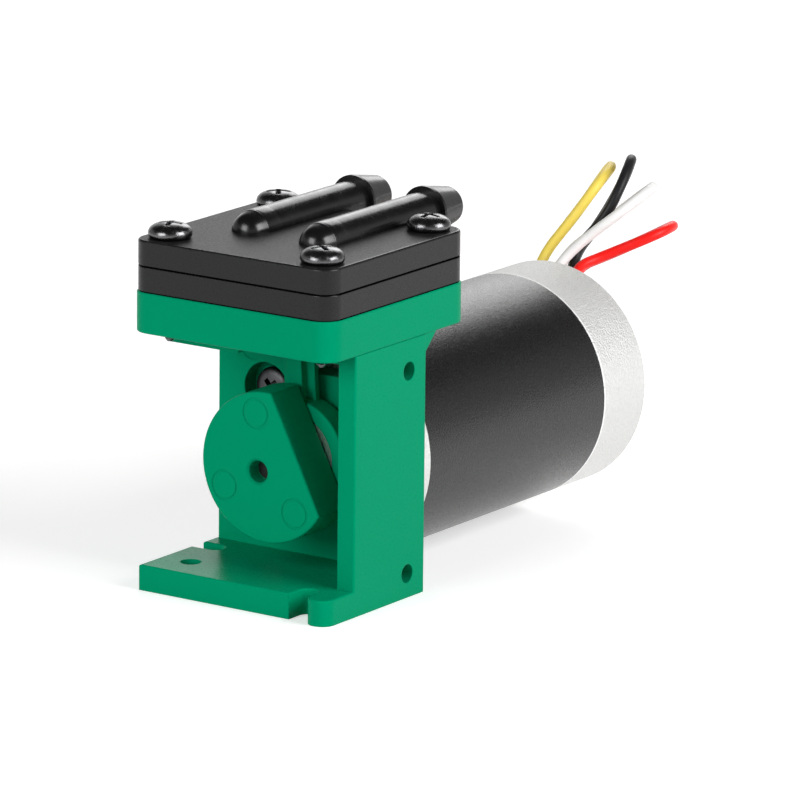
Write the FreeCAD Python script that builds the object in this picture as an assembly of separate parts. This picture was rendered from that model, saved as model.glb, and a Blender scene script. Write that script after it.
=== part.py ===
import FreeCAD, Part
import math
import os
from FreeCAD import Vector

# Small diaphragm vacuum pump: a square three-layer head on an open moulded frame,
# a crank disc and connecting rod below it, and a round motor on the frame's rear wall.
# Origin: underside of the foot plate, straight below the centre of the head.
# +Z up, +Y towards the motor, +X towards the frame's side wall.

# Head stack
head_width = 37.0
head_corner = 3.2
head_pitch = 28.0
flange_t = 6.3
plate_t = 4.0
cover_t = 4.0
plate_inset = 0.2
seam_edge = 0.25
top_edge = 0.35

# Frame
foot_t = 4.0
foot_left = -16.8
foot_front = -18.0
wall_left = -16.5
wall_front = 2.0
wall_t = 4.9
side_t = 3.2
side_front = -11.6
bridge_left = -15.9
bridge_t = 2.5
bridge_split = -3.0
bridge_right_front = -8.5
gusset_leg = 3.3
gusset_t = 2.3
frame_edge = 0.3
tab_width = 4.3
tab_reach = 0.9
tab_corner = 2.1
foot_edge = 0.3
slot_r = 1.55
slot_depth = 4.8
side_slot_y = -2.9
foot_hole_r = 1.6
foot_hole_x = -11.4
foot_hole_y = -12.1
side_hole_r = 1.45
side_hole_y = 2.5
side_hole_rise = 15.8
side_hole_depth = 8.0
side_boss_r = 3.1
side_boss_end = 1.0
window_left = -1.3
window_width = 9.8
window_height = 5.1
window_corner = 1.0
mark_r = 2.3
mark_from_left = 6.4
mark_depth = 0.08
mark_groove = 0.35

# Motor
motor_r = 18.0
floor_gap = 1.6
shaft_rise_to_flange = 20.7
front_cap_t = 2.4
can_length = 48.6
can_wall = 1.0
rear_cap_t = 12.0
cap_wall = 1.6
cap_floor = 2.0
cap_chamfer = 0.3
spigot_length = 3.0
spigot_gap = 0.02
pilot_r = 7.0
pilot_length = 3.4
pilot_gap = 0.1
pilot_lip = 1.0
shaft_r = 1.6
running_gap = 0.03
shaft_cover_gap = 0.5
shaft_clear = 0.6
motor_bearing_r = 5.5
motor_bearing_w = 4.0
motor_screw_x = 7.45
motor_screw_z = 9.4
screw_head_r = 3.05
screw_head_h = 2.0
screw_head_sink = 1.0
screw_core_r = 1.5
screw_gap = 0.1
counterbore_r = 4.1
motor_screw_length = 6.0
motor_screw_crown = 0.3
motor_cross_reach = 1.55
stator_bore_gap = 0.5
stator_length = 28.0
stator_shift = 2.0
stator_slots = 6
slot_width = 4.0
tooth_tip = 1.5
yoke_t = 2.0
winding_reach = 5.0
winding_inset = 1.5
winding_round = 1.5
rotor_core_r = 6.0
magnet_t = 2.2
board_t = 1.2
board_edge_gap = 0.4
board_stand_off = 1.0

# Crank and rod
crank_throw = 1.72
crank_angle = 31.0
crank_plane_y = -1.2
crank_bearing_w = 4.0
pin_r = 4.0
inner_ring_t = 0.9
outer_ring_t = 0.9
crank_bearing_r = 7.0
shield_gap = 0.35
shield_t = 0.35
disc_r = 11.7
disc_t = 7.2
disc_gap = 0.4
disc_flat = 7.8
disc_flat_angle = 27.0
disc_hole_r = 1.7
disc_hole_depth = 2.6
disc_hole_chamfer = 0.35
disc_mark_r = 2.4
disc_mark_ring = 8.4
disc_mark_angles = (102.0, 207.0, 311.0)
big_end_r = 9.1
shank_rib = 2.8
shank_set_back = 0.9
fin_span = 5.7
fin_t = 1.0
fin_step = 1.4
rod_head_r = 6.0
rod_head_t = 2.4
rod_neck_h = 3.0
rod_neck_r = 3.7

# Diaphragm and clamping
bore_r = 10.0
bore_flare = 1.6
diaphragm_r = 14.6
bead_width = 1.4
bead_depth = 1.0
membrane_t = 1.0
thin_t = 0.7
centre_t = 1.2
centre_r = 6.6
roll_in = 1.0
roll_out = 0.9
roll_drop = 0.4
roll_rise = 0.3
roll_rim = 0.5
stroke_drop = 2.3
chamber_r = 11.0
chamber_depth = 1.8
press_plate_r = 5.6
press_plate_t = 0.8
centre_screw_r = 1.25
centre_screw_length = 7.0
centre_screw_head_r = 2.4
centre_screw_room = 1.0
centre_cross_reach = 1.2
centre_cross_width = 0.65
centre_cross_depth = 0.55
centre_hole_gap = 0.08
soft_gap = 0.02
seat_gap = 0.02

# Valves, ports and hose barbs
port_x = 6.15
valve_r = 3.6
valve_t = 0.7
valve_rim_t = 0.4
valve_pocket_gap = 0.4
valve_skin = 1.3
valve_stem_r = 0.85
valve_stem_gap = 0.05
valve_bulb_r = 1.25
valve_bulb_h = 0.8
valve_tip_r = 0.5
valve_port_r = 0.65
valve_port_ring = 2.3
valve_ports = 4
manifold_r = 4.6
manifold_depth = 1.8
seal_width = 1.0
seal_depth = 0.8
tube_r = 3.2
tube_sink = 0.1
tube_front = -3.5
left_spout_out = 1.0
left_spout_back = 1.2
tube_end_round = 0.5
dome_r = 2.8
dome_reach = 0.4
tube_bore_r = 1.3
barb_start = 24.2
barb_length = 6.7
barb_r = 4.0
barb_tip_r = 2.9
barb_land = 0.5

# Head screws
head_screw_r = 1.5
head_screw_head_r = 3.5
head_screw_head_h = 2.4
head_screw_crown = 0.8
head_screw_tip_out = 1.8
head_screw_point = 3.4
head_screw_tip_r = 0.65
head_cross_reach = 1.9
cross_width = 0.9
cross_depth = 1.2

# Leads
lead_r = 0.85
lead_row_x = -2.3
lead_row_rise = 12.2
lead_pitch = 2.6
lead_floor_lift = 0.1
grommet_lip = 0.6
grommet_edge = 1.0
grommet_round = 1.6

# Heights and stations that follow from the sizes above
half_head = head_width / 2
half_plate = half_head - plate_inset
shaft_z = motor_r + floor_gap
flange_z = shaft_z + shaft_rise_to_flange
plate_z = flange_z + flange_t
cover_z = plate_z + plate_t
top_z = cover_z + cover_t
bridge_z = flange_z - bridge_t
side_right = half_head
side_inner = side_right - side_t
wall_back = wall_front + wall_t
can_y = wall_back + front_cap_t
rear_y = can_y + can_length
motor_end_y = rear_y + rear_cap_t
front_bearing_y = wall_back - pilot_length + pilot_lip
rear_bearing_y = motor_end_y - cap_floor / 2 - motor_bearing_w
stator_y = (can_y + rear_y - stator_length) / 2 - stator_shift
board_y = rear_y + board_stand_off
lead_row_z = shaft_z + lead_row_rise
pin_x = crank_throw * math.cos(math.radians(crank_angle))
pin_z = shaft_z + crank_throw * math.sin(math.radians(crank_angle))
ring_front_y = crank_plane_y - crank_bearing_w / 2
ring_back_y = crank_plane_y + crank_bearing_w / 2
disc_back_y = ring_front_y - disc_gap
disc_front_y = disc_back_y - disc_t
recess_z = plate_z - membrane_t
centre_z = plate_z - stroke_drop + pin_z - shaft_z
centre_top_z = centre_z + centre_t
press_top_z = centre_top_z + press_plate_t
tube_z = top_z - tube_sink
spouts = ((-port_x - left_spout_out, tube_front + left_spout_back), (port_x, tube_front))
half_pitch = head_pitch / 2


def box(x0, x1, y0, y1, z0, z1):
    return Part.makeBox(x1 - x0, y1 - y0, z1 - z0, Vector(x0, y0, z0))


def rod_y(r, x, z, y0, y1):
    return Part.makeCylinder(r, y1 - y0, Vector(x, y0, z), Vector(0, 1, 0))


def rod_z(r, x, y, z0, z1):
    return Part.makeCylinder(r, z1 - z0, Vector(x, y, z0), Vector(0, 0, 1))


def rod_x(r, y, z, x0, x1):
    return Part.makeCylinder(r, x1 - x0, Vector(x0, y, z), Vector(1, 0, 0))


def tube_y(r_out, r_in, x, z, y0, y1):
    return rod_y(r_out, x, z, y0, y1).cut(rod_y(r_in, x, z, y0, y1))


def edges_where(shape, test):
    return [edge for edge in shape.Edges if test(edge)]


def is_upright(edge):
    if len(edge.Vertexes) != 2:
        return False
    run = edge.Vertexes[1].Point - edge.Vertexes[0].Point
    return abs(run.z) > 0.9 * run.Length


def slab(half, z0, z1):
    block = box(-half, half, -half, half, z0, z1)
    return block.makeFillet(head_corner - (half_head - half), edges_where(block, is_upright))


def rim_edges(shape, z):
    return [e for e in shape.Edges if abs(e.BoundBox.ZMin - z) < 1e-4 and abs(e.BoundBox.ZMax - z) < 1e-4]


def polygon(points):
    return Part.Face(Part.makePolygon(points + [points[0]]))


def turned_z(profile, x, y):
    points = [Vector(r, 0, z) for r, z in profile]
    shape = polygon(points).revolve(Vector(0, 0, 0), Vector(0, 0, 1), 360)
    shape.translate(Vector(x, y, 0))
    return shape


def turned_y(profile, x, z):
    points = [Vector(r, y, 0) for r, y in profile]
    shape = polygon(points).revolve(Vector(0, 0, 0), Vector(0, 1, 0), 360)
    shape.translate(Vector(x, 0, z))
    return shape


def one(shapes):
    if len(shapes) == 1:
        return shapes[0]
    return shapes[0].multiFuse(shapes[1:]).removeSplitter()


def four_corners(pitch):
    return [(sx * pitch, sy * pitch) for sx in (-1, 1) for sy in (-1, 1)]


def cross_recess(reach, width, depth):
    bar = box(-reach, reach, -width / 2, width / 2, -depth, depth)
    other = bar.copy()
    other.rotate(Vector(0, 0, 0), Vector(0, 0, 1), 90)
    return bar.fuse(other)


def pan_screw(head_r, head_h, core_r, length, point, tip_r, crown, reach):
    profile = [
        (0, -length),
        (tip_r, -length),
        (core_r, point - length),
        (core_r, 0),
        (head_r, 0),
        (head_r, head_h - crown),
        (head_r - crown, head_h),
        (0, head_h),
    ]
    screw = turned_z(profile, 0, 0)
    cross = cross_recess(reach, cross_width, cross_depth)
    cross.translate(Vector(0, 0, head_h))
    return screw.cut(cross)


# Green moulded frame

def foot_plate():
    tab_left = side_right - tab_width
    foot = box(foot_left, tab_left, foot_front, wall_back, 0, foot_t)
    tab = box(tab_left, side_right, foot_front - tab_reach, wall_back, 0, foot_t)
    nose = [e for e in edges_where(tab, is_upright) if e.BoundBox.YMax < foot_front]
    foot = one([foot, tab.makeFillet(tab_corner, nose)])
    hole = rod_z(foot_hole_r, foot_hole_x, foot_hole_y, 0, foot_t)
    slot_x = foot_left + slot_depth - slot_r
    side_slot = rod_z(slot_r, slot_x, side_slot_y, 0, foot_t)
    side_slot = side_slot.fuse(box(foot_left, slot_x, side_slot_y - slot_r, side_slot_y + slot_r, 0, foot_t))
    front_x = tab_left - slot_r
    front_y = foot_front + slot_depth - slot_r - tab_reach / 2
    front_slot = rod_z(slot_r, front_x, front_y, 0, foot_t)
    front_slot = front_slot.fuse(box(front_x - slot_r, front_x + slot_r, foot_front, front_y, 0, foot_t))
    foot = foot.cut(side_slot.fuse(front_slot))
    rim = [e for e in rim_edges(foot, foot_t) if e.BoundBox.YMin < wall_front and not on_side_face(e)]
    return foot.makeFillet(foot_edge, rim).cut(hole)


def on_side_face(edge):
    return edge.BoundBox.XMin > side_right - 1e-3 and edge.BoundBox.YMax > side_front


def side_wall():
    wall = box(side_inner, side_right, side_front, wall_back, 0, flange_z)
    front = [e for e in edges_where(wall, is_upright) if e.BoundBox.YMax < side_front + frame_edge]
    return wall.makeFillet(frame_edge, front)


def rear_wall():
    wall = box(wall_left, side_right, wall_front, wall_back, 0, flange_z)
    left = [e for e in edges_where(wall, is_upright) if e.BoundBox.XMax < wall_left + frame_edge]
    return wall.makeFillet(frame_edge, left)


def head_flange():
    flange = slab(half_head, flange_z, plate_z)
    return flange.makeFillet(seam_edge, rim_edges(flange, flange_z) + rim_edges(flange, plate_z))


def gusset():
    x0 = side_right - frame_edge - gusset_t
    points = [
        Vector(x0, wall_back, flange_z),
        Vector(x0, wall_back + gusset_leg, flange_z),
        Vector(x0, wall_back, flange_z - gusset_leg),
    ]
    return polygon(points).extrude(Vector(gusset_t, 0, 0))


def bridge():
    points = [
        Vector(bridge_left, side_front, bridge_z),
        Vector(bridge_split, side_front, bridge_z),
        Vector(bridge_split, bridge_right_front, bridge_z),
        Vector(side_right, bridge_right_front, bridge_z),
        Vector(side_right, wall_back, bridge_z),
        Vector(bridge_left, wall_back, bridge_z),
    ]
    return polygon(points).extrude(Vector(0, 0, bridge_t))


def window_cut():
    z0 = bridge_z - window_height
    cut = box(window_left, window_left + window_width, wall_front, wall_back, z0, bridge_z)
    along = edges_where(cut, lambda e: e.BoundBox.YLength > wall_t / 2)
    return cut.makeFillet(window_corner, along)


def frame():
    bosses = []
    boss_x = side_right - side_hole_depth - side_boss_end
    for side in (-1, 1):
        z = shaft_z + side * side_hole_rise
        bosses.append(rod_x(side_boss_r, side_hole_y, z, boss_x, side_inner))
    body = one([foot_plate(), side_wall(), rear_wall(), bridge(), head_flange(), gusset()] + bosses)
    flare = [
        (0, bridge_z - 1),
        (bore_r, bridge_z - 1),
        (bore_r, recess_z - bead_depth - bore_flare),
        (bore_r + bore_flare, recess_z - bead_depth),
        (bore_r + bore_flare, recess_z),
        (0, recess_z),
    ]
    keep_wall = box(wall_left, side_right, wall_front, wall_back + bore_r, 0, bridge_z)
    body = body.cut(turned_z(flare, 0, 0).cut(keep_wall))
    body = body.cut(rod_z(diaphragm_r + soft_gap, 0, 0, recess_z, plate_z + 1))
    bead_in = diaphragm_r - bead_width - soft_gap
    groove = rod_z(diaphragm_r + soft_gap, 0, 0, recess_z - bead_depth, recess_z)
    body = body.cut(groove.cut(rod_z(bead_in, 0, 0, recess_z - bead_depth, recess_z)))
    body = body.cut(rod_y(pilot_r + pilot_gap, 0, shaft_z, wall_front, wall_back))
    for side in (-1, 1):
        x = -motor_screw_x
        z = shaft_z - side * motor_screw_z
        body = body.cut(rod_y(screw_core_r + screw_gap, x, z, wall_front, wall_back))
        body = body.cut(rod_y(counterbore_r, x, z, wall_front, wall_front + screw_head_sink + screw_head_h))
        zh = shaft_z + side * side_hole_rise
        body = body.cut(rod_x(side_hole_r, side_hole_y, zh, side_right - side_hole_depth, side_right))
    for x, y in four_corners(half_pitch):
        body = body.cut(rod_z(head_screw_r + seat_gap, x, y, flange_z, plate_z))
    body = body.cut(window_cut())
    mark = rod_y(mark_r, wall_left + mark_from_left, bridge_z - mark_r, wall_front, wall_front + mark_depth)
    return body.cut(mark)


# Head: valve plate, cover, valves and seals

def valve_plate():
    plate = slab(half_plate, plate_z, cover_z)
    plate = plate.makeFillet(seam_edge, rim_edges(plate, plate_z) + rim_edges(plate, cover_z))
    ceiling = plate_z + chamber_depth
    plate = plate.cut(rod_z(chamber_r, 0, 0, plate_z, ceiling))
    pocket_r = valve_r + valve_pocket_gap
    plate = plate.cut(rod_z(pocket_r, -port_x, 0, ceiling, cover_z - valve_skin))
    plate = plate.cut(rod_z(pocket_r, port_x, 0, ceiling + valve_skin, cover_z))
    for side in (-1, 1):
        x = side * port_x
        plate = plate.cut(rod_z(valve_stem_r + valve_stem_gap, x, 0, ceiling, cover_z))
        for k in range(valve_ports):
            a = math.radians(45 + 360 * k / valve_ports)
            px = x + valve_port_ring * math.cos(a)
            py = valve_port_ring * math.sin(a)
            plate = plate.cut(rod_z(valve_port_r, px, py, ceiling, cover_z))
        plate = plate.cut(seal_ring(x, 0))
    for x, y in four_corners(half_pitch):
        plate = plate.cut(rod_z(head_screw_r + screw_gap, x, y, plate_z, cover_z))
    return plate


def seal_ring(x, gap):
    z0 = cover_z - seal_depth
    outer = rod_z(manifold_r + seal_width, x, 0, z0, cover_z)
    return outer.cut(rod_z(manifold_r, x, 0, z0, cover_z))


def umbrella_valve(x, seat_z, way):
    # way is +1 for a cap above its seat and a stem going down, -1 for the other way up
    skin = valve_skin
    profile = [
        (0, -valve_t),
        (valve_r, -valve_rim_t),
        (valve_r, 0),
        (valve_stem_r, 0),
        (valve_stem_r, skin),
        (valve_bulb_r, skin + soft_gap),
        (valve_tip_r, skin + valve_bulb_h),
        (0, skin + valve_bulb_h),
    ]
    points = [(r, seat_z - way * h) for r, h in profile]
    return turned_z(points, x, 0)


def hose_tube(x, front_y):
    tube = rod_y(tube_r, x, tube_z, front_y - tube_end_round, barb_start)
    front = [e for e in tube.Edges if e.BoundBox.YMax < front_y]
    parts = [tube.makeFillet(tube_end_round, front)]
    parts.append(Part.makeSphere(dome_r, Vector(x, front_y - dome_reach, tube_z)))
    barb = [
        (0, barb_start),
        (barb_r, barb_start),
        (barb_r, barb_start + barb_land),
        (barb_tip_r, barb_start + barb_length - barb_land / 2),
        (barb_tip_r - barb_land / 2, barb_start + barb_length),
        (0, barb_start + barb_length),
    ]
    parts.append(turned_y(barb, x, tube_z))
    return one(parts)


def head_cover():
    cover = slab(half_plate, cover_z, top_z)
    cover = cover.makeFillet(seam_edge, rim_edges(cover, cover_z))
    cover = cover.makeFillet(top_edge, rim_edges(cover, top_z))
    cover = one([cover] + [hose_tube(x, front_y) for x, front_y in spouts])
    for x, front_y in spouts:
        cover = cover.cut(rod_y(tube_bore_r, x, tube_z, 0, barb_start + barb_length))
        cover = cover.cut(rod_z(tube_bore_r, x, 0, cover_z, tube_z))
    for x in (-port_x, port_x):
        cover = cover.cut(rod_z(manifold_r, x, 0, cover_z, cover_z + manifold_depth))
    for x, y in four_corners(half_pitch):
        cover = cover.cut(rod_z(head_screw_r + screw_gap, x, y, cover_z, top_z))
    return cover


def head_screws():
    screws = []
    length = top_z - flange_z + head_screw_tip_out
    sizes = (head_screw_head_r, head_screw_head_h, head_screw_r, length, head_screw_point, head_screw_tip_r)
    for k, (x, y) in enumerate(four_corners(half_pitch)):
        screw = pan_screw(*sizes, head_screw_crown, head_cross_reach)
        screw.rotate(Vector(0, 0, 0), Vector(0, 0, 1), 20 + 35 * k)
        screw.translate(Vector(x, y, top_z))
        screws.append(screw)
    return Part.makeCompound(screws)


def diaphragm():
    rim = diaphragm_r - bead_width
    hole = centre_screw_r + centre_hole_gap
    low = centre_z - roll_drop
    rise_z = centre_z + roll_rise * (recess_z - centre_z)
    profile = [
        (hole, centre_z),
        (centre_r, centre_z),
        (centre_r + roll_in, low),
        (bore_r - roll_out, low),
        (bore_r + roll_rise, rise_z),
        (chamber_r + roll_rim, recess_z),
        (rim, recess_z),
        (rim, recess_z - bead_depth),
        (diaphragm_r, recess_z - bead_depth),
        (diaphragm_r, plate_z),
        (chamber_r + roll_rim / 2, plate_z),
        (bore_r, centre_z + thin_t),
        (bore_r - roll_out, low + thin_t),
        (centre_r + roll_in, low + thin_t),
        (centre_r + roll_in / 2, centre_top_z),
        (hole, centre_top_z),
    ]
    return turned_z(profile, 0, 0)


# Crank, bearing and rod

def crank_disc():
    disc = rod_y(disc_r, pin_x, pin_z, disc_front_y, disc_back_y)
    a = math.radians(disc_flat_angle)
    cutter = box(disc_flat, disc_flat + disc_r, disc_front_y, disc_back_y, -2 * disc_r, 2 * disc_r)
    cutter.rotate(Vector(0, 0, 0), Vector(0, 1, 0), -math.degrees(a))
    cutter.translate(Vector(0, 0, shaft_z))
    disc = disc.cut(cutter)
    front = [e for e in disc.Edges if e.BoundBox.YMax < disc_front_y + 1e-3]
    disc = disc.makeFillet(frame_edge, front)
    collar = rod_y(pin_r + inner_ring_t - shield_gap / 2, pin_x, pin_z, disc_back_y, ring_front_y)
    pin = rod_y(pin_r, pin_x, pin_z, ring_front_y, ring_back_y)
    hub = one([disc, collar, pin])
    blind_y = disc_front_y + disc_hole_depth
    hub = hub.cut(rod_y(shaft_r + seat_gap, 0, shaft_z, blind_y, ring_back_y))
    mouth = [
        (0, disc_front_y),
        (disc_hole_r + disc_hole_chamfer, disc_front_y),
        (disc_hole_r, disc_front_y + disc_hole_chamfer),
        (disc_hole_r, blind_y),
        (0, blind_y),
    ]
    hub = hub.cut(turned_y(mouth, 0, shaft_z))
    for turn in disc_mark_angles:
        x = pin_x + disc_mark_ring * math.cos(math.radians(turn))
        z = pin_z + disc_mark_ring * math.sin(math.radians(turn))
        ring = tube_y(disc_mark_r, disc_mark_r - mark_groove, x, z, disc_front_y, disc_front_y + mark_depth)
        hub = hub.cut(ring)
    return hub


def crank_bearing_inner():
    return tube_y(pin_r + inner_ring_t, pin_r + seat_gap, pin_x, pin_z, ring_front_y, ring_back_y)


def crank_bearing_outer():
    inner = crank_bearing_r - outer_ring_t
    ring = tube_y(crank_bearing_r, inner, pin_x, pin_z, ring_front_y, ring_back_y)
    lip = pin_r + inner_ring_t + shield_gap
    front_y = ring_front_y + shield_t
    back_y = ring_back_y - shield_t
    front = tube_y(inner, lip, pin_x, pin_z, front_y, front_y + shield_t)
    back = tube_y(inner, lip, pin_x, pin_z, back_y - shield_t, back_y)
    return one([ring, front, back])


def connecting_rod():
    head_z = centre_z - rod_head_t
    neck_z = head_z - rod_neck_h
    lean = pin_x / (centre_z - pin_z)

    def centre_x(z):
        return (centre_z - z) * lean

    def leaning_slab(half, y0, y1, z0, z1):
        points = [
            Vector(centre_x(z0) - half, y0, z0),
            Vector(centre_x(z0) + half, y0, z0),
            Vector(centre_x(z1) + half, y0, z1),
            Vector(centre_x(z1) - half, y0, z1),
        ]
        return polygon(points).extrude(Vector(0, y1 - y0, 0))

    y0 = ring_front_y + shank_set_back
    fin_y = y0 + fin_step
    foot_z = pin_z + (crank_bearing_r + big_end_r) / 2
    rib = leaning_slab(shank_rib / 2, y0, ring_back_y, foot_z, head_z)
    fins = leaning_slab(fin_span / 2, fin_y, fin_y + fin_t, foot_z, head_z)
    neck = [
        (0, neck_z),
        (shank_rib / 2, neck_z),
        (rod_neck_r, head_z),
        (rod_head_r, head_z),
        (rod_head_r, centre_z),
        (0, centre_z),
    ]
    ring = rod_y(big_end_r, pin_x, pin_z, ring_front_y, ring_back_y)
    outer = [e for e in ring.Edges if e.BoundBox.YLength < 1e-4]
    ring = ring.makeFillet(frame_edge, outer)
    rod = one([ring, rib, fins, turned_z(neck, 0, 0)])
    rod = rod.cut(rod_y(crank_bearing_r + seat_gap, pin_x, pin_z, ring_front_y, ring_back_y))
    depth = centre_screw_length - centre_t - press_plate_t + centre_screw_room
    return rod.cut(rod_z(centre_screw_r + seat_gap, 0, 0, centre_z - depth, centre_z))


def pressure_plate():
    plate = rod_z(press_plate_r, 0, 0, centre_top_z, press_top_z)
    sink = [
        (0, centre_top_z),
        (centre_screw_r + soft_gap, centre_top_z),
        (centre_screw_head_r, press_top_z),
        (0, press_top_z),
    ]
    return plate.cut(turned_z(sink, 0, 0))


def diaphragm_screw():
    profile = [
        (0, press_top_z - centre_screw_length),
        (centre_screw_r, press_top_z - centre_screw_length),
        (centre_screw_r, centre_top_z),
        (centre_screw_head_r - soft_gap, press_top_z),
        (0, press_top_z),
    ]
    screw = turned_z(profile, 0, 0)
    cross = cross_recess(centre_cross_reach, centre_cross_width, centre_cross_depth)
    cross.translate(Vector(0, 0, press_top_z))
    return screw.cut(cross)


# Motor

def front_cap():
    spigot_r = motor_r - can_wall - spigot_gap
    profile = [
        (shaft_r + shaft_clear, wall_back - pilot_length),
        (pilot_r, wall_back - pilot_length),
        (pilot_r, wall_back),
        (motor_r - cap_chamfer, wall_back),
        (motor_r, wall_back + cap_chamfer),
        (motor_r, can_y),
        (spigot_r, can_y),
        (spigot_r, can_y + spigot_length),
        (spigot_r - cap_wall, can_y + spigot_length),
        (spigot_r - cap_wall, can_y),
        (motor_bearing_r + seat_gap, can_y),
        (motor_bearing_r + seat_gap, front_bearing_y),
        (shaft_r + shaft_clear, front_bearing_y),
    ]
    cap = turned_y(profile, 0, shaft_z)
    tip = wall_front + screw_head_sink + screw_head_h + motor_screw_length
    for side in (-1, 1):
        x = -motor_screw_x
        z = shaft_z - side * motor_screw_z
        boss = rod_y(screw_head_r, x, z, can_y, tip)
        cap = cap.fuse(boss)
        cap = cap.cut(rod_y(screw_core_r + seat_gap, x, z, wall_back, tip))
    return cap


def rear_cap():
    inside_r = motor_r - cap_wall
    spigot_r = motor_r - can_wall - spigot_gap
    floor_y = motor_end_y - cap_floor
    boss_y = floor_y - motor_bearing_w
    profile = [
        (shaft_r + shaft_clear, motor_end_y),
        (shaft_r + shaft_clear, floor_y + cap_floor / 2),
        (motor_bearing_r + seat_gap, floor_y + cap_floor / 2),
        (motor_bearing_r + seat_gap, boss_y),
        (motor_bearing_r + cap_wall, boss_y),
        (motor_bearing_r + cap_wall, floor_y),
        (inside_r, floor_y),
        (inside_r, rear_y),
        (spigot_r - cap_wall / 2, rear_y - spigot_length),
        (spigot_r, rear_y - spigot_length),
        (spigot_r, rear_y),
        (motor_r, rear_y),
        (motor_r, motor_end_y - cap_chamfer),
        (motor_r - cap_chamfer, motor_end_y),
    ]
    cap = turned_y(profile, 0, shaft_z)
    return cap.cut(grommet_block(0, floor_y, motor_end_y))


def grommet_block(grow, y0, y1):
    half = lead_pitch * 1.5 + lead_r + grommet_edge + grow
    high = lead_r + grommet_edge + grow
    block = box(lead_row_x - half, lead_row_x + half, y0, y1, lead_row_z - high, lead_row_z + high)
    along = edges_where(block, lambda e: e.BoundBox.YLength > (y1 - y0) / 2)
    return block.makeFillet(grommet_round + grow, along)


def lead_grommet():
    body = grommet_block(0, motor_end_y - cap_floor, motor_end_y)
    return body.fuse(grommet_block(grommet_lip, motor_end_y, motor_end_y + grommet_lip)).removeSplitter()


def motor_can():
    return tube_y(motor_r, motor_r - can_wall, 0, shaft_z, can_y, rear_y)


def stator_core():
    y0 = stator_y
    bore = rotor_core_r + magnet_t + stator_bore_gap
    outer = motor_r - can_wall - seat_gap
    core = tube_y(outer, bore, 0, shaft_z, y0, y0 + stator_length)
    for k in range(stator_slots):
        slot = box(bore + tooth_tip, outer - yoke_t, y0, y0 + stator_length, -slot_width / 2, slot_width / 2)
        slot.rotate(Vector(0, 0, 0), Vector(0, 1, 0), 360 * k / stator_slots)
        slot.translate(Vector(0, 0, shaft_z))
        core = core.cut(slot)
    return core


def stator_windings():
    y0 = stator_y
    bore = rotor_core_r + magnet_t + stator_bore_gap + winding_inset
    outer = motor_r - can_wall - winding_inset
    ends = []
    for a in (y0 - winding_reach, y0 + stator_length):
        ring = tube_y(outer, bore, 0, shaft_z, a, a + winding_reach)
        rims = [e for e in ring.Edges if e.BoundBox.YLength < 1e-4]
        ends.append(ring.makeFillet(winding_round, rims))
    return Part.makeCompound(ends)


def motor_screws():
    screws = []
    seat = wall_front + screw_head_sink + screw_head_h
    end_bevel = screw_core_r / 4
    sizes = (screw_head_r, screw_head_h, screw_core_r, motor_screw_length, end_bevel, screw_core_r - end_bevel)
    for k, side in enumerate((-1, 1)):
        screw = pan_screw(*sizes, motor_screw_crown, motor_cross_reach)
        screw.rotate(Vector(0, 0, 0), Vector(0, 0, 1), 40 + 30 * k)
        screw.rotate(Vector(0, 0, 0), Vector(1, 0, 0), 90)
        screw.translate(Vector(-motor_screw_x, seat, shaft_z - side * motor_screw_z))
        screws.append(screw)
    return Part.makeCompound(screws)


def ball_bearing(y0):
    return tube_y(motor_bearing_r, shaft_r + running_gap, 0, shaft_z, y0, y0 + motor_bearing_w)


def rotor():
    y0 = stator_y
    core = tube_y(rotor_core_r, shaft_r + seat_gap, 0, shaft_z, y0, y0 + stator_length)
    magnet = tube_y(rotor_core_r + magnet_t, rotor_core_r + seat_gap, 0, shaft_z, y0, y0 + stator_length)
    return core, magnet


# Leads: straight runs with a tangent arc at each point

def lead_wire(points):
    edges = []
    radii = []
    start = points[0]
    for k in range(1, len(points) - 1):
        a, p, b = points[k - 1], points[k], points[k + 1]
        u = (a - p).normalize()
        w = (b - p).normalize()
        half_turn = (math.pi - u.getAngle(w)) / 2
        reach = 0.45 * min((a - p).Length, (b - p).Length)
        radii.append(reach / math.tan(half_turn))
        p0 = p + u * reach
        p1 = p + w * reach
        bow = (u + w).normalize()
        middle = p + bow * (radii[-1] / math.cos(half_turn) - radii[-1])
        edges.append(Part.LineSegment(start, p0).toShape())
        edges.append(Part.Arc(p0, middle, p1).toShape())
        start = p1
    edges.append(Part.LineSegment(start, points[-1]).toShape())
    return Part.Wire(edges), radii


def lead_tube(name, points):
    wire, radii = lead_wire(points)
    first = points[1] - points[0]
    circle = Part.Wire(Part.makeCircle(lead_r, points[0], first))
    tube = wire.makePipeShell([circle], True, False)
    expected = math.pi * lead_r ** 2 * wire.Length
    turns = " ".join("%.1f" % r for r in radii)
    print(name, "length %.1f" % wire.Length, "volume %.1f of %.1f" % (tube.Volume, expected), "radii", turns)
    return tube


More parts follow.
